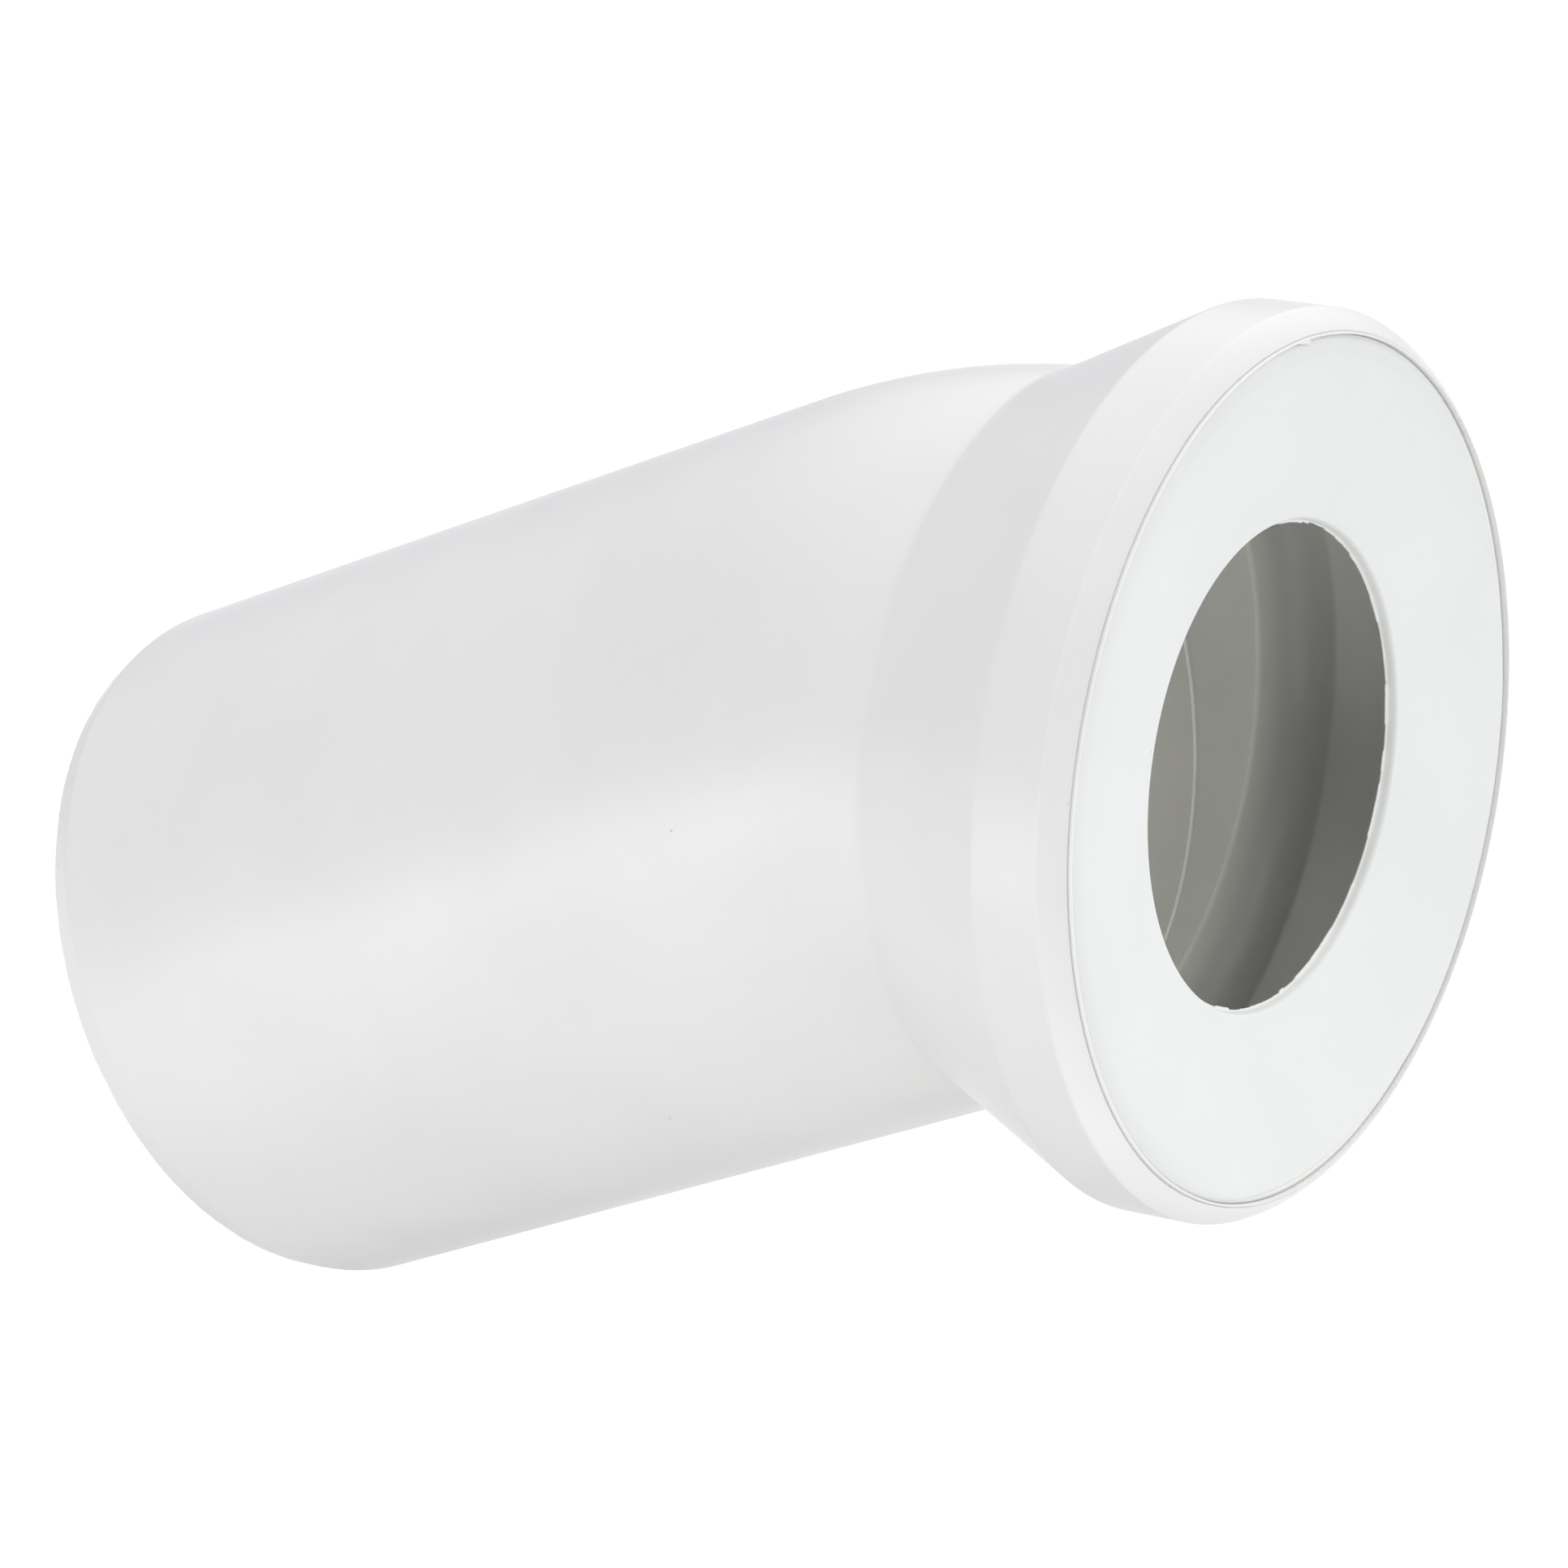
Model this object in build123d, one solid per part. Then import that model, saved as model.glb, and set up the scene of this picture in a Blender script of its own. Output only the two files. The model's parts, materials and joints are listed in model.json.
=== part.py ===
from build123d import *
from math import cos, radians, sin, tan
import os

# A toilet pan connector: a moulded plastic bend whose socket takes the outlet of the pan through a soft lip
# seal, and whose plain spigot goes into the soil pipe. All sizes are in millimetres.
#
# The origin is the centre of the seal's hole. +X leaves the socket along its axis, +Z is up, the bend lies in
# the XZ plane and the spigot falls away towards -X. Depths are measured back from the lip's front face, and
# reaches from the bend's corner, where the axes of socket and spigot cross.

# Spigot: a plain pipe with a chamfered end
SPIGOT_DIAMETER = 110.0
SPIGOT_WALL = 2.7
SPIGOT_REACH = 149.0
CHAMFER_LENGTH = 4.0
CHAMFER_HEIGHT = 1.4

# Bend: rounded outside, with the elbow radius on its inner side, where the two straight bores meet in a knee
BEND_ANGLE = 22.5
ELBOW_RADIUS = 10.0

# Socket: a cone opens from the neck to a short cylinder, and inside it a rounded funnel leads back to the
# throat, a short straight stretch of bore before the bend
NECK_REACH = 8.8
NECK_FILLET = 5.0
CONE_ANGLE = 25.7
SOCKET_DIAMETER = 136.0
SOCKET_WALL = 3.0
SOCKET_DEPTH = 14.9
LEDGE_DEPTH = 11.4
LEDGE_HEIGHT = 1.5
FUNNEL_RADIUS = 11.5
THROAT_STRAIGHT = 0.2

# Rim: the socket's edge is turned in over the seal and ends in a thin lip beyond a crease
RIM_DEPTH = 4.2
RIM_BULGE = 0.35
CREASE_DEPTH = 0.4
CREASE_GAP = 0.2
LIP_THICKNESS = 1.4
LIP_HOLD = 0.7
LIP_WIDTH = 0.9

# Burr left on the lip at the top of the mould's parting plane
BURR_START_ANGLE = 0.8
BURR_END_ANGLE = 4.0
BURR_HEIGHT = 0.8
BURR_DEPTH = 0.2
BURR_THICKNESS = 1.0

# Lip seal: a sleeve in the socket's pocket carries a dished membrane with the hole for the pan's outlet
SEAL_CLEARANCE = 0.05
SLEEVE_THICKNESS = 2.5
FACE_GAP = 1.05
FACE_DEPTH = 0.4
FACE_CHAMFER = 0.4
MEMBRANE_THICKNESS = 1.7
HOLE_DIAMETER = 72.0
HOLE_DEPTH = 5.5
HOLE_WALL = 1.2
HOLE_CHAMFER = 0.9

# Worked out from the sizes above
spigot_radius = SPIGOT_DIAMETER / 2
bore_radius = spigot_radius - SPIGOT_WALL
bend_radius = spigot_radius + ELBOW_RADIUS
tangent_length = bend_radius * tan(radians(BEND_ANGLE / 2))
socket_radius = SOCKET_DIAMETER / 2
pocket_radius = socket_radius - SOCKET_WALL
lip_radius = pocket_radius - LIP_HOLD
hole_radius = HOLE_DIAMETER / 2
face_radius = lip_radius - FACE_GAP
cone_slope = tan(radians(CONE_ANGLE))

# Places along the socket's axis, from the mouth back to the bend's corner
mouth_x = HOLE_DEPTH
cone_x = mouth_x - SOCKET_DEPTH
neck_x = cone_x - (socket_radius - spigot_radius) / cone_slope
corner = Vector(neck_x - NECK_REACH, 0, 0)
throat_x = corner.X + tangent_length + THROAT_STRAIGHT
spigot_direction = Vector(-cos(radians(BEND_ANGLE)), 0, -sin(radians(BEND_ANGLE)))


def at(depth, radius):
    """A point of a socket or seal section, as seen in the XZ plane above the socket's axis."""
    return (mouth_x - depth, radius)


def turned(section):
    """The ring or plug that a flat section makes when it turns about the socket's axis."""
    return revolve(Plane.XZ * section, Axis.X)


def rod_between(start, end, radius):
    """A straight round rod from one point to another."""
    along = end - start
    return extrude(Plane(start, z_dir=along) * Circle(radius), along.length)


def bent_rod(radius):
    """A round rod from the socket's cone along its axis, round the bend and down to the spigot's end."""
    bend_start = corner + Vector(tangent_length, 0, 0)
    bend_end = corner + spigot_direction * tangent_length
    spigot_end = corner + spigot_direction * SPIGOT_REACH
    bend_axis = Axis(bend_start - Vector(0, 0, bend_radius), (0, -1, 0))
    bend = revolve(Plane(bend_start, z_dir=(-1, 0, 0)) * Circle(radius), bend_axis, BEND_ANGLE)
    straight = rod_between(Vector(cone_x, 0, 0), bend_start, radius)
    return straight + bend + rod_between(bend_end, spigot_end, radius)


def mitred_rod(radius):
    """Two straight round rods that meet at the bend's corner in a mitre."""
    spare = 2 * radius
    mitre = Plane(corner, z_dir=Vector(1, 0, 0) - spigot_direction)
    socket_side = rod_between(Vector(cone_x, 0, 0), corner - Vector(spare, 0, 0), radius)
    spigot_side = rod_between(
        corner - spigot_direction * spare, corner + spigot_direction * SPIGOT_REACH, radius
    )
    return split(socket_side, mitre, Keep.TOP) + split(spigot_side, mitre, Keep.BOTTOM)


def socket_outside():
    """The cone, the socket's cylinder and the turned-in rim, as a plug with no hollow."""
    root_x = neck_x - SPIGOT_WALL / cone_slope
    crease_radius = lip_radius + LIP_WIDTH
    rim_start = Vector(at(RIM_DEPTH, socket_radius))
    rim_end = Vector(at(CREASE_DEPTH, crease_radius + CREASE_GAP))
    rim_chord = rim_end - rim_start
    rim_middle = (rim_start + rim_end) / 2 + rim_chord.rotate(Axis.Z, 90).normalized() * RIM_BULGE
    side = Polyline((root_x, 0), (root_x, bore_radius), (cone_x, socket_radius), rim_start)
    rim = ThreePointArc(rim_start, rim_middle, rim_end)
    lip = Polyline(
        rim_end,
        at(CREASE_DEPTH + CREASE_GAP, crease_radius),
        at(0, crease_radius),
        at(0, 0),
        (root_x, 0),
    )
    return turned(make_face([side, rim, lip]))


def socket_inside():
    """The hollow of the socket: lip, pocket of the seal, ledge, cone and funnel down to the bore."""
    pocket = Polyline(
        at(0, 0),
        at(0, lip_radius),
        at(LIP_THICKNESS, lip_radius),
        at(LIP_THICKNESS, pocket_radius),
        at(LEDGE_DEPTH, pocket_radius),
        at(LEDGE_DEPTH, 0),
        close=True,
    )
    ledge_x = mouth_x - LEDGE_DEPTH
    ledge_radius = pocket_radius - LEDGE_HEIGHT
    wall_radius = spigot_radius - SOCKET_WALL / cos(radians(CONE_ANGLE))
    cone_start = wall_radius + (throat_x - neck_x) * cone_slope
    cone_end = cone_start + (ledge_x - throat_x) * cone_slope
    cone = Polyline((throat_x, 0), (throat_x, cone_start), (ledge_x, cone_end), (ledge_x, 0), close=True)
    ledge = Polyline(
        (throat_x, 0), (throat_x, ledge_radius), (ledge_x, ledge_radius), (ledge_x, 0), close=True
    )
    funnel = Pos(throat_x, bore_radius + FUNNEL_RADIUS) * Circle(FUNNEL_RADIUS)
    return turned(make_face(pocket) + (make_face(ledge) & make_face(cone)) - funnel)


def lip_burr():
    """A small saw-tooth of flash that stands in from the lip."""
    tip_radius = lip_radius - BURR_HEIGHT
    root_radius = lip_radius + LIP_WIDTH / 2

    def rim_point(angle, radius):
        return (radius * sin(radians(angle)), radius * cos(radians(angle)))

    outline = Polyline(
        rim_point(BURR_START_ANGLE, root_radius),
        rim_point(BURR_START_ANGLE, lip_radius),
        rim_point(BURR_END_ANGLE, tip_radius),
        rim_point(BURR_END_ANGLE, root_radius),
        close=True,
    )
    front = Plane((mouth_x - BURR_DEPTH, 0, 0), x_dir=(0, 1, 0), z_dir=(1, 0, 0))
    return extrude(front * make_face(outline), -BURR_THICKNESS)


def connector_body():
    """The one-piece plastic moulding."""
    pipe = bent_rod(spigot_radius)
    end_face = pipe.faces().sort_by(Axis(corner, spigot_direction))[-1]
    pipe = chamfer(end_face.edges(), CHAMFER_HEIGHT, CHAMFER_LENGTH, reference=end_face)
    plug = socket_outside()
    outside = pipe + plug
    outside = fillet(new_edges(pipe, plug, combined=outside), NECK_FILLET)
    bore = bent_rod(bore_radius) & mitred_rod(bore_radius)
    return outside - bore - socket_inside() + lip_burr()


def lip_seal():
    """The soft ring that closes on the pan's outlet."""
    sleeve_radius = pocket_radius - SEAL_CLEARANCE
    sleeve_inside = sleeve_radius - SLEEVE_THICKNESS
    sleeve_front = LIP_THICKNESS + SEAL_CLEARANCE
    sleeve_back = LEDGE_DEPTH - SEAL_CLEARANCE
    wall_front = Vector(at(HOLE_DEPTH - HOLE_WALL / 2, hole_radius))
    wall_back = Vector(at(HOLE_DEPTH + HOLE_WALL / 2, hole_radius))
    hole_edge = wall_back + Vector(MEMBRANE_THICKNESS, 0)
    face_edge = Vector(at(FACE_DEPTH, face_radius))
    outwards = (face_edge - hole_edge).normalized()
    back_corner = wall_back + outwards * ((sleeve_inside - hole_radius) / outwards.Y)
    outline = Polyline(
        wall_front,
        hole_edge + outwards * HOLE_CHAMFER,
        face_edge - outwards * FACE_CHAMFER,
        face_edge - Vector(FACE_CHAMFER, 0),
        at(sleeve_front, face_radius),
        at(sleeve_front, sleeve_radius),
        at(sleeve_back, sleeve_radius),
        at(sleeve_back, sleeve_inside),
        back_corner,
        wall_back,
        close=True,
    )
    return turned(make_face(outline))


if __name__ == "__main__":
    os.makedirs("parts", exist_ok=True)
    export_step(connector_body(), "parts/connector_body.step")
    export_step(lip_seal(), "parts/lip_seal.step")
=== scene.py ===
import json
import math

import bpy
import numpy as np
from mathutils import Matrix, Vector


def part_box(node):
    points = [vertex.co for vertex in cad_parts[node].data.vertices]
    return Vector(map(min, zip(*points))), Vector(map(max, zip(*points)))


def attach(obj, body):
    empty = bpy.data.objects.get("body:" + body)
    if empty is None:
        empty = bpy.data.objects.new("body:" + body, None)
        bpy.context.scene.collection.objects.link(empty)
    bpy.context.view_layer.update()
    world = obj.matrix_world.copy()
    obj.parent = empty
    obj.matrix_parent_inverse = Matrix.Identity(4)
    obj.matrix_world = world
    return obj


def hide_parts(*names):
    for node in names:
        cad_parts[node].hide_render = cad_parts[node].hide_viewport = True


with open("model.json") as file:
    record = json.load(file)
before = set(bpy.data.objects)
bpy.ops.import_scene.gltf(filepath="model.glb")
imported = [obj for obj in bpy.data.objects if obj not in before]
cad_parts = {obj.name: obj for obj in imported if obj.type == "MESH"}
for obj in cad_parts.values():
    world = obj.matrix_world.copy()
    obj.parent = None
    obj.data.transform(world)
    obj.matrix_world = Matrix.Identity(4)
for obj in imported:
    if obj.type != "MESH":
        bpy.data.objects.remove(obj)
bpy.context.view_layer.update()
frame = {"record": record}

# Sizes are in millimetres, in the part's own frame: the origin is the centre of the seal's hole, +X leaves the
# socket along its axis and +Z is up. Angles are in degrees and count round an axis from +Z towards +Y. A table
# gives a value at each of a few stops, and between two stops the value changes evenly. Meshes are in metres.
MM = 0.001
SEED = 22
UNTINTED = (1.0, 1.0, 1.0)

# Sizes read from the frame
mounts = {mount["name"]: mount for mount in frame["record"]["mounts"]}
_, body_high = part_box("connector_body")
PIPE_RADIUS = mounts["spigot"]["dims"]["r_mm"]
BEND = math.acos(-mounts["spigot"]["axis"][0])
HOLE_RADIUS = mounts["pan_seal"]["dims"]["r_mm"]
SOCKET_RADIUS = body_high.y / MM
MOUTH_X = body_high.x / MM

# Spigot and bend
SPIGOT_WALL = 2.7
SPIGOT_REACH = 149.0
CHAMFER_LENGTH = 4.0
CHAMFER_HEIGHT = 1.4
ELBOW_RADIUS = 10.0

# Socket: depths run back from the lip, reaches run from the corner of the bend
NECK_REACH = 8.8
NECK_FILLET = 5.0
CONE_ANGLE = 25.7
SOCKET_WALL = 3.0
SOCKET_DEPTH = 14.9
LEDGE_DEPTH = 11.4
LEDGE_HEIGHT = 1.5
FUNNEL_RADIUS = 11.5
THROAT_STRAIGHT = 0.2

# Rim and lip: the first of two values is for a flat crease, the second for a deep one, and the table gives the
# share of the deep one round the rim
RIM_DEPTH = 4.2
RIM_BULGE = 0.35
CREASE_DEPTHS = [0.2, 0.95]
CREASE_GAP = 0.2
CREASE_SHARES = {0: 0.35, 25: 0.2, 60: 0.0, 180: 0.0, 200: 0.3, 222: 1.0, 335: 1.0, 360: 0.35}
LIP_DROPS = [0.0, 0.36]
LIP_THICKNESS = 1.4
LIP_HOLD = 0.7
LIP_WIDTH = 0.35

# Flash and other marks of the mould on the body; the knee's flash fades out round the bore
PARTING_HEIGHT = 0.05
PARTING_ANGLE = 0.25
BURR_START = 0.8
BURR_END = 4.0
BURR_HEIGHT = 0.8
BURR_THICKNESS = 0.32
FLASH_WIDTH = 0.22
FLASH_TIP = 0.03
FLASH_RIPPLE = 0.3
FLASH_WAVES = 60
THROAT_FLASH = 0.1
KNEE_FLASH = 0.08
KNEE_WIDTH = 0.34
KNEE_FADE_START = 0.8
KNEE_FADE = 4.0
END_ROUGHNESS = 0.22
END_WAVES = 110

# Seal: its sleeve and membrane, its gap to the lip, the rounded shoulder of its face, and the floor of the
# groove between face and lip
SEAL_CLEARANCE = 0.05
SLEEVE_THICKNESS = 2.5
SLEEVE_FRONT = 0.6
MEMBRANE_THICKNESS = 1.7
MEMBRANE_END = 3.0
FACE_GAP = 1.05
FACE_DEPTH = 0.4
FACE_REACHES = [25.6, 24.2, 20.0, 15.0, 8.0, 5.0, 3.0]
GAPS = {
    0: 0.22, 15: 0.5, 30: 0.85, 45: 0.9, 55: 1.06, 65: 1.35, 75: 1.4, 85: 1.06, 95: 0.65, 120: 0.6, 135: 0.42,
    147: 0.5, 160: 1.0, 172: 1.35, 185: 1.2, 197: 0.63, 207: 0.35, 220: 0.18, 240: 0.1, 345: 0.12, 360: 0.22,
}
EDGE_DEPTH = 0.62
EDGE_ROUND = 0.6
EDGE_CORNER = 0.3
GROOVE_FLOOR = 1.0
GROOVE_DEPTH = 0.78
GROOVE_SHARE = 0.35
HOLE_WALL = 1.2
HOLE_ROUND = 0.75

# Torn fin round the hole: the share of its height that lies outside the hole's radius, its section as depths
# and shares of its height, and the runs in which it was torn
FIN_HEIGHT = 0.6
FIN_THICKNESS = 0.3
FIN_OUTSIDE = 0.8
FIN_FOOT = 0.2
FIN_SECTION = [(0.0, 0.35), (0.02, 0.85), (0.15, 1.0), (0.28, 0.85), (FIN_THICKNESS, 0.3)]
TEAR_POINTS = [4, 26]
TEAR_LEVELS = [0.3, 1.0]
TEAR_SLOPE = 0.18
TEAR_RIPPLE = 0.1
TEAR_WAVES = 300
TEAR_LOWEST = 0.2

# Lengths over which edges are rounded off, the largest share of a side that one may take, and the straight
# stretch that leads up to such an edge
EDGE_LEAD = 1.0
SOCKET_EDGE_CUT = 0.6
RIM_CUT = 0.25
LIP_CUTS = [0.08, 0.05, 0.12, 0.12, 0.02]
FUNNEL_CUTS = [0.2, 0.2, 0.2, 0.4, 0.5]
END_CUTS = [0.3, 0.35, 0.9]
SLEEVE_CUTS = [0.2, 0.2, 0.2, 1.2]
CUT_LIMIT = 0.45

# Fineness of the meshes: points and rings along each stretch, powers that set them closer at one end, and the
# stretch that is searched for the neck, ahead of the bend's start and behind its end
BODY_STEP = 1.0
BURR_STEP = 0.1
SEAL_POINTS = 1080
CORNER_STEPS = 4
NECK_AHEAD = 5.0
NECK_BEHIND = 20.0
NECK_HALVINGS = 50
LINE_POINTS = 1500
LINE_POWER = 3
LINE_WAY_POINT = 60
PIPE_RINGS = 52
PIPE_POWER = 1.7
FILLET_STEPS = 8
CONE_RINGS = 16
RIM_POINTS = 9
FUNNEL_POINTS = 14
SOCKET_BORE_RINGS = 14
SPIGOT_BORE_RINGS = 40
SPIGOT_BORE_POWER = 1.6
HOLE_EDGE_STEPS = 10
SHOULDER_STEPS = 8

# Painted shade and painted light on the body, as shares of its colour: painted shade down the funnel, in the
# crease and beside the flash lines, and painted light on the throat's and knee's flash, the lip, the rim's edge
# and lower side, the bore's sides and down the spigot's bore; the inside also takes a slightly yellower painted
# tint. The funnel's shades go by places along the socket's axis, the low shares and the bore's shades by angles
# from the top, and the spigot's by lengths from the knee. Reaches and margins say how far a shade goes
RIM_SHADES = {0: 1.0, 110: 1.0, 175: 1.12, 235: 1.12, 270: 1.03, 300: 1.0, 360: 1.0}
RIM_EDGE_HIGHLIGHT = 1.03
RIM_EDGE_REACH = 0.2
LIP_SHADES = [1.03, 1.11]
LIP_MARGIN = 0.02
CREASE_SHADES = [1.0, 0.9]
CREASE_MARGIN = 0.3
# Painted tint for the colour of the dim light inside the socket and bore
INSIDE_PAINTED_TINT = (1.0, 1.0, 0.976)
FUNNEL_TOP_SHADES = {-32: 0.97, -29: 0.8, -27: 0.71, -24.5: 0.82, -22.5: 0.97, -22: 1.08, -10: 1.16}
FUNNEL_BOTTOM_SHADES = {-32: 0.95, -29: 0.75, -27: 0.57, -24.5: 0.49, -22.5: 0.48, -22: 0.49, -10: 0.8}
FUNNEL_LOW_SHARES = {50: 0.0, 78: 0.42, 105: 0.72, 145: 1.0}
BORE_SHADES = {80: 1.05, 112: 1.13, 145: 0.98}
THROAT_PAINTED_HIGHLIGHT = 1.12
FLASH_SIDE_SHADE = 0.9
SOCKET_BORE_SHADE = 0.97
KNEE_PAINTED_HIGHLIGHT = 1.55
KNEE_FOOT_SHADE = 1.12
SPIGOT_BORE_SHADES = {0: 1.0, 12: 1.1}

# Painted shade and painted light on the seal: painted shade at its outer edge, with the share that each ring of
# the face takes of it, and painted light over the rounded edge of the hole by steps, on the fin and in the
# groove
SEAL_SHADES = {
    0: 0.95, 50: 0.96, 80: 1.0, 200: 1.0, 225: 0.95, 255: 0.945, 272: 0.965, 300: 0.945, 330: 0.945, 360: 0.95,
}
FACE_SHADE_SHARES = [0.85, 0.35, 0.15, 0.0, 0.0, 0.0, 0.0]
HOLE_EDGE_SHADES = {0: 1.0, 4: 1.06, 9: 1.13, 10: 1.1}
FIN_PAINTED_LIGHT = 1.08
GROOVE_PAINTED_LIGHT = 1.2

# Materials: scales count features in a metre, and ranges are stretches of a texture's value
PLASTIC = {
    "pale": (0.797, 0.795, 0.758),
    "deep": (0.777, 0.775, 0.738),
    "speck": (0.7, 0.69, 0.65),
    "roughness": (0.28, 0.38),
    "grain_scale": 2600.0,
    "grain_height": 0.02,
}
RUBBER = {
    "pale": (0.838, 0.850, 0.802),
    "deep": (0.820, 0.833, 0.785),
    "speck": (0.6, 0.6, 0.58),
    "roughness": (0.5, 0.62),
    "grain_scale": 1800.0,
    "grain_height": 0.04,
}
# Clouds of tone: random, and in part painted soft reflections
CLOUD_SCALE = 38.0
CLOUD_DETAIL = 3.0
CLOUD_RANGE = (0.35, 0.65)
SPECK_SCALE = 70.0
SPECK_RANGE = (0.011, 0.019)
GLOSS_SCALE = 55.0
GLOSS_DETAIL = 4.0
GLOSS_RANGE = (0.3, 0.7)
WAVE_SCALE = 45.0
WAVE_DETAIL = 1.0
WAVE_HEIGHT = 0.6
WAVE_STRENGTH = 0.25
GRAIN_DETAIL = 2.0
GRAIN_STRENGTH = 0.3

# Floor, with a painted shadow below the part: a greyer patch that also dims the light the floor throws up onto
# it
FLOOR_SIZE = 12000.0
FLOOR_Z = -400.0
FLOOR_PALE = (0.97, 0.97, 0.97)
FLOOR_DEEP = (0.95, 0.95, 0.95)
FLOOR_ROUGHNESS = 0.9
FLOOR_CLOUD_SCALE = 2.0
FLOOR_CLOUD_DETAIL = 2.0
FLOOR_CLOUD_RANGE = (0.3, 0.7)
FLOOR_PAINTED_SHADOW = (0.36, 0.36, 0.35)
FLOOR_SHADOW_RANGE = (0.0, 0.6)
FLOOR_SHADOW_PLACE = (-245.0, 30.0, 0.0)
FLOOR_SHADOW_SIZE = 470.0

# Light: the tone of the sky changes along one way, from low to high, and a board stands low at the front
SKY_WAY = (0.18, 0.35, 1.0)
SKY_LOW = -0.15
SKY_HIGH = 1.06
SKY_STOPS = [
    (0.0, (0.15, 0.155, 0.18)),
    (0.13, (0.19, 0.195, 0.22)),
    (0.39, (0.29, 0.295, 0.32)),
    (0.65, (0.81, 0.81, 0.845)),
    (1.0, (1.0, 1.0, 1.045)),
]
SKY_STRENGTH = 1.58
BOARD_PLACE = (-370.0, -1030.0, -185.0)
BOARD_TARGET = (-145.0, 0.0, -45.0)
BOARD_WIDTH = 1000.0
BOARD_HEIGHT = 350.0
BOARD_POWER = 2.55

# Camera, as fitted to the photograph's outlines
CAMERA_PLACE = (515.137, -894.986, 335.128)
CAMERA_RIGHT = (0.83594, 0.54772, -0.03466)
CAMERA_UP = (-0.14208, 0.27698, 0.95031)
CAMERA_LENS = 169.58
CAMERA_SENSOR = 36.0

# Places and radii that follow
bore_radius = PIPE_RADIUS - SPIGOT_WALL
bend_radius = PIPE_RADIUS + ELBOW_RADIUS
bend_length = bend_radius * BEND
tangent_length = bend_radius * math.tan(BEND / 2)
cone_slope = math.tan(math.radians(CONE_ANGLE))
cone_x = MOUTH_X - SOCKET_DEPTH
neck_x = cone_x - (SOCKET_RADIUS - PIPE_RADIUS) / cone_slope
corner = np.array([neck_x - NECK_REACH, 0.0, 0.0])
bend_start_x = corner[0] + tangent_length
throat_x = bend_start_x + THROAT_STRAIGHT
spigot_along = np.array([-math.cos(BEND), 0.0, -math.sin(BEND)])
spigot_up = np.array([-math.sin(BEND), 0.0, math.cos(BEND)])
across = np.array([0.0, 1.0, 0.0])
pocket_radius = SOCKET_RADIUS - SOCKET_WALL
lip_radius = pocket_radius - LIP_HOLD
crease_radius = lip_radius + LIP_WIDTH

# Points of the seal's section, and the way outwards along its face
wall_radius = HOLE_RADIUS + FIN_HEIGHT * FIN_OUTSIDE
wall_back = np.array([-HOLE_WALL / 2, wall_radius])
wall_front = wall_back + (FIN_THICKNESS, 0.0)
hole_edge = wall_back + (MEMBRANE_THICKNESS, 0.0)
face_edge = np.array([MOUTH_X - FACE_DEPTH, lip_radius - FACE_GAP])
outwards = (face_edge - hole_edge) / np.linalg.norm(face_edge - hole_edge)


def between_stops(places, stops):
    """A table's value at one place or at many."""
    return np.interp(places, list(stops), list(stops.values()))


def from_top(angles):
    """Degrees from the top of a ring, down either side."""
    return np.degrees(np.abs(np.angle(np.exp(1j * angles))))


def curve(start, bend, end, steps):
    """Points of a quadratic curve, without its start."""
    shares = np.linspace(0.0, 1.0, steps + 1)[1:]
    return [start * (1 - share) ** 2 + bend * 2 * share * (1 - share) + end * share**2 for share in shares]


def softened(corners, cuts):
    """A line through corners in 2-D, with each inner corner rounded off over its cut length on both sides."""
    corners = [np.array(point, float) for point in corners]
    line = [corners[0]]
    for before, here, after, cut in zip(corners, corners[1:], corners[2:], cuts):
        start = here + (before - here) * min(CUT_LIMIT, cut / np.linalg.norm(before - here))
        end = here + (after - here) * min(CUT_LIMIT, cut / np.linalg.norm(after - here))
        line += [start] + curve(start, here, end, CORNER_STEPS)
    return np.array(line + [corners[-1]])


def smooth_noise(angles, waves, seed):
    """A repeatable ripple round a ring, from -1 to 1 at most, made of waves of many widths."""
    draw = np.random.default_rng(seed)
    total = np.zeros_like(angles)
    for wave in range(2, waves):
        total += draw.normal() * np.cos(wave * angles + draw.uniform(0, 2 * math.pi))
    return total / np.abs(total).max()


def socket_ring(x, radius, angles):
    """Points of a ring round the socket's axis; x and radius may differ round the ring."""
    x = np.broadcast_to(x, angles.shape)
    return np.stack([x, radius * np.sin(angles), radius * np.cos(angles)], 1)


def spigot_ring(reach, radius, angles):
    """Points of a ring round the spigot's axis; reach and radius may differ round the ring."""
    reach = np.broadcast_to(reach, angles.shape)[:, None]
    radius = np.broadcast_to(radius, angles.shape)[:, None]
    outward = np.cos(angles)[:, None] * spigot_up + np.sin(angles)[:, None] * across
    return corner + reach * spigot_along + radius * outward


def bent_ring(run, radius, angles):
    """Points of a ring on the bent pipe; run is the length of centre line behind the start of the bend."""
    turn = np.clip(run, 0.0, bend_length) / bend_radius
    beyond = np.maximum(run - bend_length, 0.0)
    ahead = np.maximum(-run, 0.0)
    reach = bend_radius + radius * np.cos(angles)
    x = bend_start_x + ahead - reach * np.sin(turn) - beyond * math.cos(BEND)
    z = reach * np.cos(turn) - bend_radius - beyond * math.sin(BEND)
    return np.stack([x, radius * np.sin(angles), z], -1)


def into_bend(points, radius):
    """Points that stand out of the bent bore are drawn in to its wall."""
    x = points[:, 0] - bend_start_x
    z = points[:, 2] + bend_radius
    turn = np.clip(np.arctan2(-x, z), 0.0, BEND)
    centre = np.stack([-bend_radius * np.sin(turn), 0 * turn, bend_radius * np.cos(turn)], 1)
    centre += np.array([bend_start_x, 0.0, -bend_radius])
    tangent = np.stack([-np.cos(turn), 0 * turn, -np.sin(turn)], 1)
    offset = points - centre
    along = (offset * tangent).sum(1, keepdims=True) * tangent
    offset = offset - along
    distance = np.linalg.norm(offset, axis=1, keepdims=True)
    return centre + along + offset * np.minimum(1.0, radius / distance)


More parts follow.
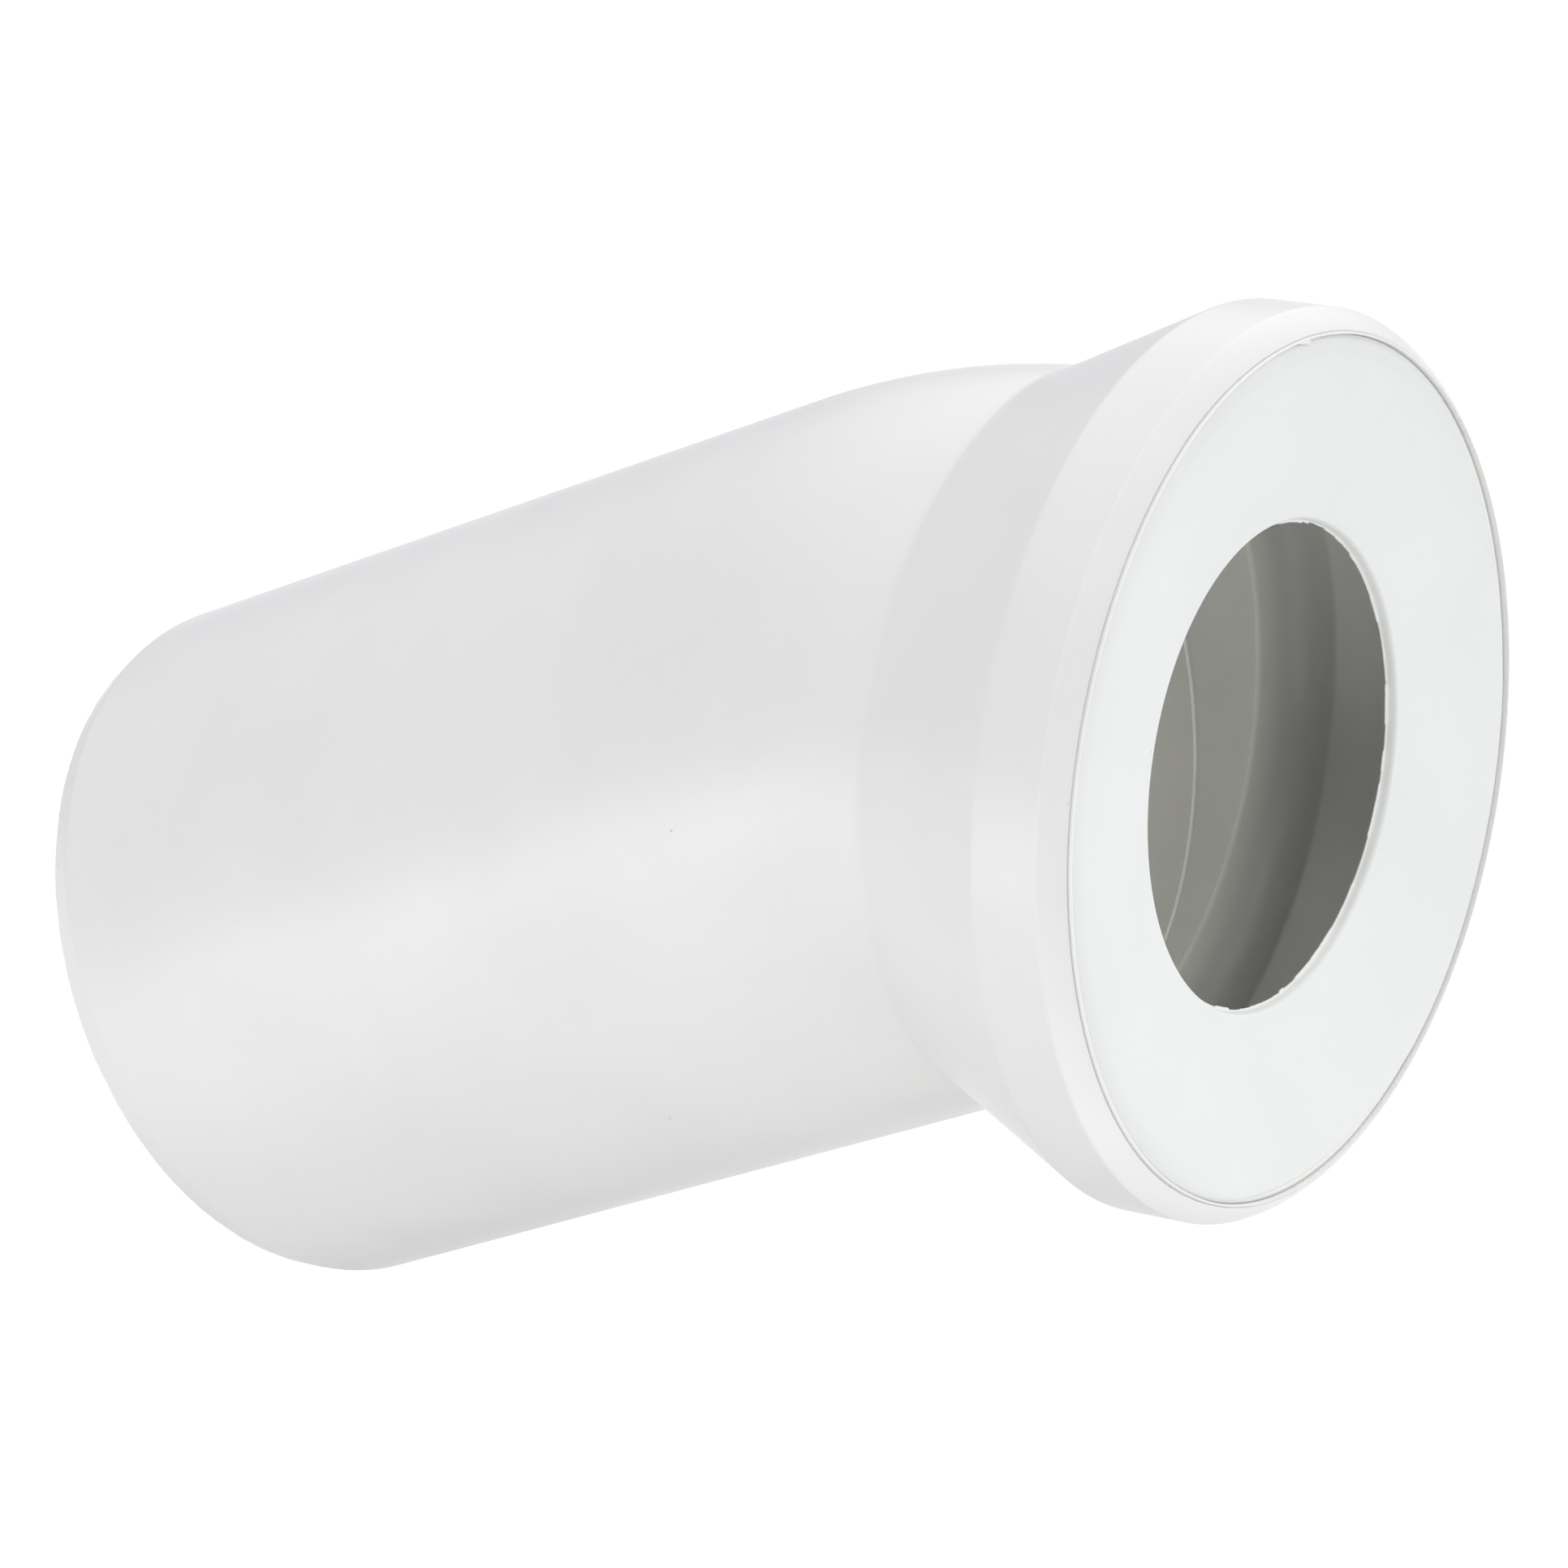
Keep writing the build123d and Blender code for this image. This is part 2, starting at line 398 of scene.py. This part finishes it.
def ring_mesh(name, shaded_rings, tints):
    """A closed mesh of quads between neighbouring rings, the last joined to the first, with smooth normals that
    follow the larger faces. Each ring comes with its shade, a painted shade or painted light that may differ
    round it, and has a tint, and the material takes both as a share of its colour."""
    rings = np.array([ring for ring, _ in shaded_rings])
    count, around = rings.shape[:2]
    index = np.arange(count * around).reshape(count, around)
    right = np.roll(index, -1, axis=1)
    below = np.roll(index, -1, axis=0)
    faces = np.stack([index, right, np.roll(right, -1, axis=0), below], -1).reshape(-1, 4)
    points = rings.reshape(-1, 3)
    corners = points[faces]
    area_normals = np.cross(corners[:, 2] - corners[:, 0], corners[:, 3] - corners[:, 1])
    if (area_normals * corners[:, 0]).sum() < 0:
        faces = faces[:, ::-1]
        area_normals = -area_normals
    normals = np.zeros_like(points)
    for side in range(4):
        np.add.at(normals, faces[:, side], area_normals)
    normals /= np.linalg.norm(normals, axis=1, keepdims=True)
    mesh = bpy.data.meshes.new(name)
    mesh.from_pydata((points * MM).tolist(), [], faces.tolist())
    mesh.polygons.foreach_set("use_smooth", [True] * len(faces))
    mesh.normals_split_custom_set_from_vertices(normals.tolist())
    shades = np.array([np.broadcast_to(shade, around) for _, shade in shaded_rings])
    colours = np.ones((count, around, 4))
    colours[..., :3] = shades[..., None] * np.array(tints)[:, None, :]
    attribute = mesh.attributes.new("shade", "FLOAT_COLOR", "POINT")
    attribute.data.foreach_set("color", colours.ravel())
    mesh.update()
    piece = bpy.data.objects.new(name, mesh)
    bpy.context.scene.collection.objects.link(piece)
    return piece


def body_angles():
    """Angles of the body's rings: even steps, with closer ones at the parting line and the burr."""
    even = np.arange(0.0, 360.0, BODY_STEP)
    parting = [turn + side * PARTING_ANGLE for turn in (0.0, 180.0) for side in (-1, 1)]
    burr = [BURR_START, BURR_END - BURR_STEP, BURR_END + BURR_STEP]
    degrees = np.unique(np.mod(np.concatenate([even, parting, burr]), 360.0))
    return np.radians(degrees)


def neck_runs(angles):
    """For each line along the pipe, the run at which it meets the cone."""
    front = np.full_like(angles, -NECK_AHEAD)
    back = np.full_like(angles, bend_length + NECK_BEHIND)
    for _ in range(NECK_HALVINGS):
        middle = (front + back) / 2
        points = bent_ring(middle, PIPE_RADIUS, angles)
        cone = PIPE_RADIUS + (points[:, 0] - neck_x) * cone_slope
        outside = np.hypot(points[:, 1], points[:, 2]) > cone
        back = np.where(outside, middle, back)
        front = np.where(outside, front, middle)
    return middle


def outer_rings(angles):
    """Rings of the outside, from the start of the chamfer along the pipe, through the neck and up the cone."""
    neck = neck_runs(angles)
    end_run = bend_length + SPIGOT_REACH - tangent_length - CHAMFER_LENGTH - EDGE_LEAD
    spacing = np.linspace(0.0, 1.0, LINE_POINTS) ** LINE_POWER
    runs = neck + np.multiply.outer(spacing, end_run - neck)
    parting = np.abs(np.sin(angles)) < math.sin(math.radians(PARTING_ANGLE / 2))
    pipe_radius = PIPE_RADIUS + PARTING_HEIGHT * parting
    lines = bent_ring(runs, np.broadcast_to(pipe_radius, runs.shape), np.broadcast_to(angles, runs.shape))
    steps = np.linalg.norm(np.diff(lines, axis=0), axis=2)
    lengths = np.concatenate([np.zeros((1, len(angles))), np.cumsum(steps, axis=0)])
    meeting = lines[0]
    pipe_way = lines[LINE_WAY_POINT] - meeting
    pipe_way /= np.linalg.norm(pipe_way, axis=1, keepdims=True)
    polar = np.arctan2(meeting[:, 1], meeting[:, 2])
    polar = angles + np.angle(np.exp(1j * (polar - angles)))
    cone_way = np.stack([np.ones_like(polar), cone_slope * np.sin(polar), cone_slope * np.cos(polar)], 1)
    cone_way /= np.linalg.norm(cone_way, axis=1, keepdims=True)
    fold = np.arccos(-(pipe_way * cone_way).sum(1))
    cut = NECK_FILLET * np.tan(fold / 2)

    def on_pipe(share):
        targets = cut + (lengths[-1] - cut) * share
        return np.array(
            [
                [np.interp(target, lengths[:, i], lines[:, i, axis]) for axis in range(3)]
                for i, target in enumerate(targets)
            ]
        )

    rings = [on_pipe(share) for share in np.linspace(1.0, 0.0, PIPE_RINGS) ** PIPE_POWER]
    edge = meeting + cone_way * cut[:, None]
    rings += curve(rings[-1], meeting, edge, FILLET_STEPS)
    for share in np.linspace(0.0, 1.0, CONE_RINGS)[1:]:
        x = edge[:, 0] * (1 - share) + (cone_x - EDGE_LEAD) * share
        radius = PIPE_RADIUS + (x - neck_x) * cone_slope
        rings.append(socket_ring(x, radius, polar * (1 - share) + angles * share))
    return rings


def rim_profile(crease_depth, lip_drop):
    """The socket's section from the end of the cone over the rim and lip."""
    rim_start = np.array([MOUTH_X - RIM_DEPTH, SOCKET_RADIUS])
    rim_end = np.array([MOUTH_X - crease_depth, crease_radius + CREASE_GAP])
    chord = rim_end - rim_start
    bulge = np.array([-chord[1], chord[0]]) / np.linalg.norm(chord) * RIM_BULGE
    shares = np.linspace(0.0, 1.0, RIM_POINTS)
    rim = [rim_start + chord * share + bulge * 4 * share * (1 - share) for share in shares]
    lip_x = MOUTH_X - lip_drop
    lip = [
        (MOUTH_X - crease_depth - CREASE_GAP / 2, crease_radius),
        (lip_x, crease_radius),
        (lip_x, lip_radius),
        (lip_x - BURR_THICKNESS, lip_radius),
        (MOUTH_X - LIP_THICKNESS, lip_radius),
    ]
    side = [(cone_x - EDGE_LEAD, SOCKET_RADIUS - EDGE_LEAD * cone_slope), (cone_x, SOCKET_RADIUS)]
    cuts = [SOCKET_EDGE_CUT] + [RIM_CUT] * (len(rim) - 1) + LIP_CUTS
    return softened(side + rim + lip, cuts)


def with_burr(ring, angles):
    """A ring of the rim; where it lies on the lip's inner edge, a saw-tooth of flash stands in from it."""
    degrees = np.degrees(angles)
    inside = (degrees >= BURR_START) & (degrees < BURR_END)
    burr = BURR_HEIGHT * (degrees - BURR_START) / (BURR_END - BURR_START) * inside
    radius = np.hypot(ring[:, 1], ring[:, 2])
    hold = np.clip((lip_radius + LIP_WIDTH / 2 - radius) / (LIP_WIDTH / 2), 0.0, 1.0)
    hold = hold * (ring[:, 0] > MOUTH_X - LIP_DROPS[1] * CREASE_SHARES[0] - BURR_THICKNESS)
    ring[:, 1:] *= (1.0 - burr * hold / radius)[:, None]
    return ring


def rim_rings(angles):
    """Rings of the rim and lip, each with its painted shade or painted light: painted shade in the crease,
    painted light on the lip and the rim's lower side, and a painted highlight along the rim's edge. The crease
    before the lip is deep on one side only.
    """
    degrees = np.degrees(angles)
    crease = between_stops(degrees, CREASE_SHARES)
    rim_shade = between_stops(degrees, RIM_SHADES)
    crease_shade = CREASE_SHADES[0] + (CREASE_SHADES[1] - CREASE_SHADES[0]) * crease
    lip_shade = LIP_SHADES[0] + (LIP_SHADES[1] - LIP_SHADES[0]) * crease
    rim_start_x = MOUTH_X - RIM_DEPTH
    crease_start_x = MOUTH_X - LIP_DROPS[1] - CREASE_MARGIN
    profiles = [rim_profile(depth, drop)[1:] for depth, drop in zip(CREASE_DEPTHS, LIP_DROPS)]
    rings = []
    for flat, deep in zip(*profiles):
        x, radius = np.multiply.outer(flat, 1.0 - crease) + np.multiply.outer(deep, crease)
        deep_x, deep_radius = deep
        beside_lip = lip_radius + LIP_WIDTH / 2 < deep_radius < crease_radius + CREASE_GAP
        # Painted shade in the crease, painted light on the lip, a painted highlight on the rim's edge
        if beside_lip and deep_x < crease_start_x:
            shade = crease_shade
        elif deep_radius < crease_radius + LIP_MARGIN:
            shade = lip_shade
        elif abs(deep_x - rim_start_x) < RIM_EDGE_REACH:
            shade = RIM_EDGE_HIGHLIGHT
        elif deep_x > rim_start_x:
            shade = rim_shade
        else:
            shade = 1.0
        rings.append((with_burr(socket_ring(x, radius, angles), angles), shade))
    return rings


def funnel_profile():
    """The socket's section inside, from the back of the lip down to the throat."""
    lip_back_x = MOUTH_X - LIP_THICKNESS
    ledge_x = MOUTH_X - LEDGE_DEPTH
    ledge_radius = pocket_radius - LEDGE_HEIGHT
    cone_radius = PIPE_RADIUS - SOCKET_WALL * math.hypot(1.0, cone_slope)
    ledge_end_x = neck_x + (ledge_radius - cone_radius) / cone_slope
    centre = np.array([throat_x, bore_radius + FUNNEL_RADIUS])
    cone_way = np.array([1.0, cone_slope]) / math.hypot(1.0, cone_slope)
    to_centre = centre - (neck_x, cone_radius)
    middle = to_centre @ cone_way
    aside = to_centre @ to_centre - middle**2
    shoulder = np.array([neck_x, cone_radius]) + cone_way * (middle + math.sqrt(FUNNEL_RADIUS**2 - aside))
    end_turn = math.asin((shoulder[0] - throat_x) / FUNNEL_RADIUS)
    turns = np.linspace(end_turn, 0.0, FUNNEL_POINTS)[1:]
    funnel = [centre + FUNNEL_RADIUS * np.array([math.sin(turn), -math.cos(turn)]) for turn in turns]
    corners = [
        (lip_back_x, lip_radius),
        (lip_back_x, pocket_radius),
        (ledge_x, pocket_radius),
        (ledge_x, ledge_radius),
        (ledge_end_x, ledge_radius),
        shoulder,
        funnel[0],
    ]
    return np.concatenate([softened(corners, FUNNEL_CUTS), funnel[1:-1]])


def funnel_rings(angles):
    """Rings of the socket's inside, each with its painted shade, darker down the funnel and more so on its
    lower side.
    """
    low_share = between_stops(from_top(angles), FUNNEL_LOW_SHARES)
    rings = []
    for x, radius in funnel_profile()[1:]:
        top = between_stops(x, FUNNEL_TOP_SHADES)
        bottom = between_stops(x, FUNNEL_BOTTOM_SHADES)
        rings.append((socket_ring(x, radius, angles), top + (bottom - top) * low_share))
    return rings


def bore_rings(angles):
    """Rings of the bore, each with its painted shade or painted light: from the throat to the knee, and down
    the spigot to its end. A thin line of flash stands at the throat, and another at the knee on the inner side
    of the bend. Both flash lines carry painted highlights with painted shade beside them, and the bore is
    painted lighter on its sides and further down the spigot, and darker at its bottom."""
    ripple = 1.0 + FLASH_RIPPLE * smooth_noise(angles, FLASH_WAVES, SEED)
    mitre = -bore_radius * np.cos(angles) * math.tan(BEND / 2)
    throat_tip = bore_radius - THROAT_FLASH * ripple
    inner_side = np.clip(KNEE_FADE_START - KNEE_FADE * np.cos(angles), 0.0, 1.0)
    knee_tip = bore_radius - KNEE_FLASH * ripple * inner_side
    rings = [
        (socket_ring(throat_x + FLASH_WIDTH, bore_radius, angles), THROAT_PAINTED_HIGHLIGHT),
        (socket_ring(throat_x + FLASH_TIP, throat_tip, angles), THROAT_PAINTED_HIGHLIGHT),
        (socket_ring(throat_x - FLASH_TIP, throat_tip, angles), THROAT_PAINTED_HIGHLIGHT),
        (socket_ring(throat_x - FLASH_WIDTH, bore_radius, angles), FLASH_SIDE_SHADE),
    ]
    socket_end = throat_x - corner[0] - FLASH_WIDTH - FLASH_TIP
    foot = mitre + KNEE_WIDTH
    for share in np.linspace(1.0, 0.0, SOCKET_BORE_RINGS):
        reach = foot + FLASH_TIP + (socket_end - foot - FLASH_TIP) * share
        shade = SOCKET_BORE_SHADE if share > 0.0 else FLASH_SIDE_SHADE
        rings.append((socket_ring(corner[0] + reach, bore_radius, angles), shade))
    rings += [
        (socket_ring(corner[0] + foot, bore_radius, angles), KNEE_FOOT_SHADE),
        (socket_ring(corner[0] + mitre + FLASH_TIP, knee_tip, angles), KNEE_PAINTED_HIGHLIGHT),
        (spigot_ring(mitre + FLASH_TIP, knee_tip, angles), KNEE_PAINTED_HIGHLIGHT),
        (spigot_ring(foot, bore_radius, angles), KNEE_FOOT_SHADE),
    ]
    spigot_end = SPIGOT_REACH - EDGE_LEAD
    for share in np.linspace(0.0, 1.0, SPIGOT_BORE_RINGS) ** SPIGOT_BORE_POWER:
        reach = foot + FLASH_TIP + (spigot_end - foot - FLASH_TIP) * share
        shade = between_stops(reach - foot, SPIGOT_BORE_SHADES)
        rings.append((spigot_ring(reach, bore_radius, angles), shade))
    bore_shade = between_stops(from_top(angles), BORE_SHADES)
    return [(into_bend(ring, bore_radius), bore_shade * shade) for ring, shade in rings]


def end_rings(angles):
    """Rings over the spigot's open end, from the bore to the start of the chamfer; its edge is a bit rough."""
    profile = softened(
        [
            (SPIGOT_REACH - EDGE_LEAD, bore_radius),
            (SPIGOT_REACH, bore_radius),
            (SPIGOT_REACH, PIPE_RADIUS - CHAMFER_HEIGHT),
            (SPIGOT_REACH - CHAMFER_LENGTH, PIPE_RADIUS),
            (SPIGOT_REACH - CHAMFER_LENGTH - EDGE_LEAD, PIPE_RADIUS),
        ],
        END_CUTS,
    )
    rough = END_ROUGHNESS * np.abs(smooth_noise(angles, END_WAVES, SEED + 1))
    rings = []
    for reach, radius in profile[1:-1]:
        near_end = max(0.0, 1.0 - (SPIGOT_REACH - reach) / EDGE_LEAD)
        rings.append(spigot_ring(reach - rough * near_end, radius, angles))
    return rings


def make_body():
    """The one-piece moulding."""
    angles = body_angles()
    outside = [(ring, 1.0) for ring in outer_rings(angles)] + rim_rings(angles)
    inside = funnel_rings(angles) + bore_rings(angles)
    end = [(ring, 1.0) for ring in end_rings(angles)]
    tints = [UNTINTED] * len(outside) + [INSIDE_PAINTED_TINT] * len(inside) + [UNTINTED] * len(end)
    return ring_mesh("moulded_body", outside + inside + end, tints)


def torn_edge(angles):
    """Height of the torn fin round the hole: short runs that step and slope, up to 1."""
    draw = np.random.default_rng(SEED + 2)
    heights = np.zeros_like(angles)
    start = 0
    while start < len(angles):
        end = start + int(draw.integers(*TEAR_POINTS))
        level = draw.uniform(*TEAR_LEVELS)
        slope = draw.uniform(-TEAR_SLOPE, TEAR_SLOPE)
        run = heights[start:end]
        run[:] = level + slope * np.linspace(0.0, 1.0, len(run))
        start = end
    return np.clip(heights + TEAR_RIPPLE * smooth_noise(angles, TEAR_WAVES, SEED + 3), TEAR_LOWEST, 1.0)


def face_rings(angles):
    """Rings of the seal's dished face, from near its edge in towards the hole, each with its painted shade,
    darkest at the edge.
    """
    edge_shade = between_stops(np.degrees(angles), SEAL_SHADES)
    rings = []
    for reach, share in zip(FACE_REACHES, FACE_SHADE_SHARES):
        rings.append((socket_ring(*(hole_edge + outwards * reach), angles), 1.0 + (edge_shade - 1.0) * share))
    return rings


def hole_rings(angles):
    """Rings over the rounded edge of the hole and its torn fin, with painted light on the rounded edge and the
    fin.
    """
    round_start = hole_edge + outwards * HOLE_ROUND
    rounded = [round_start] + curve(round_start, hole_edge, wall_front, HOLE_EDGE_STEPS)
    rings = []
    for step, point in enumerate(rounded):
        rings.append((socket_ring(*point, angles), between_stops(step, HOLE_EDGE_SHADES)))
    fin = FIN_HEIGHT * torn_edge(angles)
    for depth, share in FIN_SECTION:
        rings.append((socket_ring(wall_front[0] - depth, wall_radius - fin * share, angles), FIN_PAINTED_LIGHT))
    rings.append((socket_ring(wall_back[0], wall_radius + FIN_FOOT, angles), 1.0))
    return rings


def sleeve_rings(angles):
    """Rings of the membrane's back and of the sleeve, as far as the front of the sleeve."""
    sleeve_radius = pocket_radius - SEAL_CLEARANCE
    sleeve_inside = sleeve_radius - SLEEVE_THICKNESS
    front_x = MOUTH_X - LIP_THICKNESS - SEAL_CLEARANCE
    back_x = MOUTH_X - LEDGE_DEPTH + SEAL_CLEARANCE
    line = softened(
        [
            (front_x, sleeve_radius - SLEEVE_FRONT),
            (front_x, sleeve_radius),
            (back_x, sleeve_radius),
            (back_x, sleeve_inside),
            wall_back + outwards * (sleeve_inside - wall_radius) / outwards[1],
            wall_back + outwards * MEMBRANE_END,
        ],
        SLEEVE_CUTS,
    )
    return [(socket_ring(x, radius, angles), 1.0) for x, radius in line[::-1]]


def groove_rings(angles):
    """Rings of the groove beside the lip, which is uneven, and of the shoulder up to the face, with painted
    light in the groove and painted shade on the shoulder.
    """
    edge_radius = lip_radius - between_stops(np.degrees(angles), GAPS)
    edge_shade = between_stops(np.degrees(angles), SEAL_SHADES)
    groove_radius = edge_radius + (lip_radius - edge_radius) * GROOVE_SHARE
    rings = [
        (socket_ring(MOUTH_X - GROOVE_FLOOR, lip_radius - SEAL_CLEARANCE, angles), GROOVE_PAINTED_LIGHT),
        (socket_ring(MOUTH_X - GROOVE_DEPTH, groove_radius, angles), GROOVE_PAINTED_LIGHT),
    ]
    start = socket_ring(*(face_edge - outwards * EDGE_ROUND), angles)
    bend = socket_ring(face_edge[0], edge_radius - EDGE_CORNER, angles)
    end = socket_ring(MOUTH_X - EDGE_DEPTH, edge_radius, angles)
    shoulder = [start] + curve(start, bend, end, SHOULDER_STEPS)
    return rings + [(ring, edge_shade) for ring in shoulder[::-1]]


def make_seal():
    """The soft ring in the socket's pocket."""
    angles = np.linspace(0.0, 2 * math.pi, SEAL_POINTS, endpoint=False)
    rings = face_rings(angles) + hole_rings(angles) + sleeve_rings(angles) + groove_rings(angles)
    return ring_mesh("soft_seal", rings, [UNTINTED] * len(rings))


def new_material(name):
    """An empty material, with its nodes, its links and the part's own coordinates."""
    material = bpy.data.materials.new(name)
    material.use_nodes = True
    nodes = material.node_tree.nodes
    place = nodes.new("ShaderNodeTexCoord").outputs["Object"]
    return material, nodes, material.node_tree.links, place


def noise(nodes, links, place, scale, detail):
    """The value of a noise texture; scale counts features in a metre."""
    texture = nodes.new("ShaderNodeTexNoise")
    texture.inputs["Scale"].default_value = scale
    texture.inputs["Detail"].default_value = detail
    links.new(place, texture.inputs["Vector"])
    return texture.outputs["Fac"]


def ramp(nodes, links, value, stops):
    """A colour that changes with a value, from stop to stop."""
    node = nodes.new("ShaderNodeValToRGB")
    elements = node.color_ramp.elements
    while len(elements) < len(stops):
        elements.new(0.5)
    for element, (position, colour) in zip(elements, stops):
        element.position = position
        element.color = (*colour, 1.0)
    links.new(value, node.inputs["Fac"])
    return node.outputs["Color"]


def product(nodes, links, first, second):
    """One colour times another."""
    mix = nodes.new("ShaderNodeMix")
    mix.data_type = "RGBA"
    mix.blend_type = "MULTIPLY"
    mix.inputs["Factor"].default_value = 1.0
    links.new(first, mix.inputs["A"])
    links.new(second, mix.inputs["B"])
    return mix.outputs["Result"]


def bump(nodes, links, height, strength, distance):
    """A bump by a texture's value; distance is its full height in millimetres."""
    node = nodes.new("ShaderNodeBump")
    node.inputs["Strength"].default_value = strength
    node.inputs["Distance"].default_value = distance * MM
    links.new(height, node.inputs["Height"])
    return node


def moulded_material(name, pale, deep, speck, roughness, grain_scale, grain_height):
    """A pale moulding: faint clouds of tone, random and in part painted soft reflections, sparse dark specks,
    uneven gloss, a fine grain and slow waves. The mesh's painted shade and painted light are taken into its
    colour."""
    material, nodes, links, place = new_material(name)
    shader = nodes["Principled BSDF"]
    clouds = noise(nodes, links, place, CLOUD_SCALE, CLOUD_DETAIL)
    tone = ramp(nodes, links, clouds, list(zip(CLOUD_RANGE, (deep, pale))))
    cells = nodes.new("ShaderNodeTexVoronoi")
    cells.inputs["Scale"].default_value = SPECK_SCALE
    links.new(place, cells.inputs["Vector"])
    specks = ramp(nodes, links, cells.outputs["Distance"], list(zip(SPECK_RANGE, (speck, UNTINTED))))
    # Painted shade and painted light, carried by the mesh
    shade = nodes.new("ShaderNodeAttribute")
    shade.attribute_name = "shade"
    specked = product(nodes, links, tone, specks)
    links.new(product(nodes, links, specked, shade.outputs["Color"]), shader.inputs["Base Color"])
    rough = nodes.new("ShaderNodeMapRange")
    rough.inputs["From Min"].default_value, rough.inputs["From Max"].default_value = GLOSS_RANGE
    rough.inputs["To Min"].default_value, rough.inputs["To Max"].default_value = roughness
    links.new(noise(nodes, links, place, GLOSS_SCALE, GLOSS_DETAIL), rough.inputs["Value"])
    links.new(rough.outputs["Result"], shader.inputs["Roughness"])
    waves = noise(nodes, links, place, WAVE_SCALE, WAVE_DETAIL)
    wave_bump = bump(nodes, links, waves, WAVE_STRENGTH, WAVE_HEIGHT)
    grain = noise(nodes, links, place, grain_scale, GRAIN_DETAIL)
    grain_bump = bump(nodes, links, grain, GRAIN_STRENGTH, grain_height)
    links.new(wave_bump.outputs["Normal"], grain_bump.inputs["Normal"])
    links.new(grain_bump.outputs["Normal"], shader.inputs["Normal"])
    return material


def floor_material():
    """A matt pale floor with a faint unevenness, and a painted shadow that makes it a little greyer below the
    part.
    """
    material, nodes, links, place = new_material("pale_floor")
    shader = nodes["Principled BSDF"]
    clouds = noise(nodes, links, place, FLOOR_CLOUD_SCALE, FLOOR_CLOUD_DETAIL)
    tone = ramp(nodes, links, clouds, list(zip(FLOOR_CLOUD_RANGE, (FLOOR_DEEP, FLOOR_PALE))))
    # Painted shadow: a soft grey patch on the floor below the part
    shadow_mapping = nodes.new("ShaderNodeMapping")
    shadow_mapping.inputs["Location"].default_value = [-way / FLOOR_SHADOW_SIZE for way in FLOOR_SHADOW_PLACE]
    shadow_mapping.inputs["Scale"].default_value = [1 / (FLOOR_SHADOW_SIZE * MM)] * 3
    links.new(place, shadow_mapping.inputs["Vector"])
    shadow_nearness = nodes.new("ShaderNodeTexGradient")
    shadow_nearness.gradient_type = "SPHERICAL"
    links.new(shadow_mapping.outputs["Vector"], shadow_nearness.inputs["Vector"])
    shadow_stops = list(zip(FLOOR_SHADOW_RANGE, (UNTINTED, FLOOR_PAINTED_SHADOW)))
    shade = ramp(nodes, links, shadow_nearness.outputs["Fac"], shadow_stops)
    links.new(product(nodes, links, tone, shade), shader.inputs["Base Color"])
    shader.inputs["Roughness"].default_value = FLOOR_ROUGHNESS
    return material


def make_floor():
    """A wide floor below the part, out of reach of its cast shadow; the floor's material paints a soft shadow
    in.
    """
    half = FLOOR_SIZE / 2 * MM
    corners = [(-half, -half, 0.0), (half, -half, 0.0), (half, half, 0.0), (-half, half, 0.0)]
    mesh = bpy.data.meshes.new("floor")
    mesh.from_pydata(corners, [], [(0, 1, 2, 3)])
    mesh.materials.append(floor_material())
    floor = bpy.data.objects.new("floor", mesh)
    floor.location.z = FLOOR_Z * MM
    bpy.context.scene.collection.objects.link(floor)


def make_sky():
    """Soft white light from above, dimmer and cooler towards the horizon."""
    world = bpy.data.worlds.new("studio")
    bpy.context.scene.world = world
    world.use_nodes = True
    nodes = world.node_tree.nodes
    links = world.node_tree.links
    place = nodes.new("ShaderNodeTexCoord")
    height = nodes.new("ShaderNodeVectorMath")
    height.operation = "DOT_PRODUCT"
    height.inputs[1].default_value = SKY_WAY
    links.new(place.outputs["Generated"], height.inputs[0])
    share = nodes.new("ShaderNodeMapRange")
    share.inputs["From Min"].default_value = SKY_LOW
    share.inputs["From Max"].default_value = SKY_HIGH
    links.new(height.outputs["Value"], share.inputs["Value"])
    background = nodes["Background"]
    links.new(ramp(nodes, links, share.outputs["Result"], SKY_STOPS), background.inputs["Color"])
    background.inputs["Strength"].default_value = SKY_STRENGTH


def make_board():
    """A wide, low, soft light before the part, just above the floor."""
    data = bpy.data.lights.new("front_board", "AREA")
    data.shape = "RECTANGLE"
    data.size = BOARD_WIDTH * MM
    data.size_y = BOARD_HEIGHT * MM
    data.energy = BOARD_POWER
    light = bpy.data.objects.new("front_board", data)
    way = Vector(BOARD_TARGET) - Vector(BOARD_PLACE)
    light.location = Vector(BOARD_PLACE) * MM
    light.rotation_euler = way.to_track_quat("-Z", "Y").to_euler()
    light.visible_camera = False
    bpy.context.scene.collection.objects.link(light)


def make_camera():
    """The photograph's view: a long lens, well above the part and in front of the socket."""
    data = bpy.data.cameras.new("camera")
    data.lens = CAMERA_LENS
    data.sensor_fit = "HORIZONTAL"
    data.sensor_width = CAMERA_SENSOR
    camera = bpy.data.objects.new("camera", data)
    right = Vector(CAMERA_RIGHT)
    up = Vector(CAMERA_UP)
    turn = Matrix((right, up, right.cross(up))).transposed().to_4x4()
    camera.matrix_world = Matrix.Translation(Vector(CAMERA_PLACE) * MM) @ turn
    bpy.context.scene.collection.objects.link(camera)
    bpy.context.scene.camera = camera
    bpy.context.scene.view_settings.view_transform = "Standard"


body = make_body()
body.data.materials.append(moulded_material("white_plastic", **PLASTIC))
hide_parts("connector_body")
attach(body, "root")

seal = make_seal()
seal.data.materials.append(moulded_material("white_rubber", **RUBBER))
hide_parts("lip_seal")
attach(seal, "root")

make_floor()
make_sky()
make_board()
make_camera()
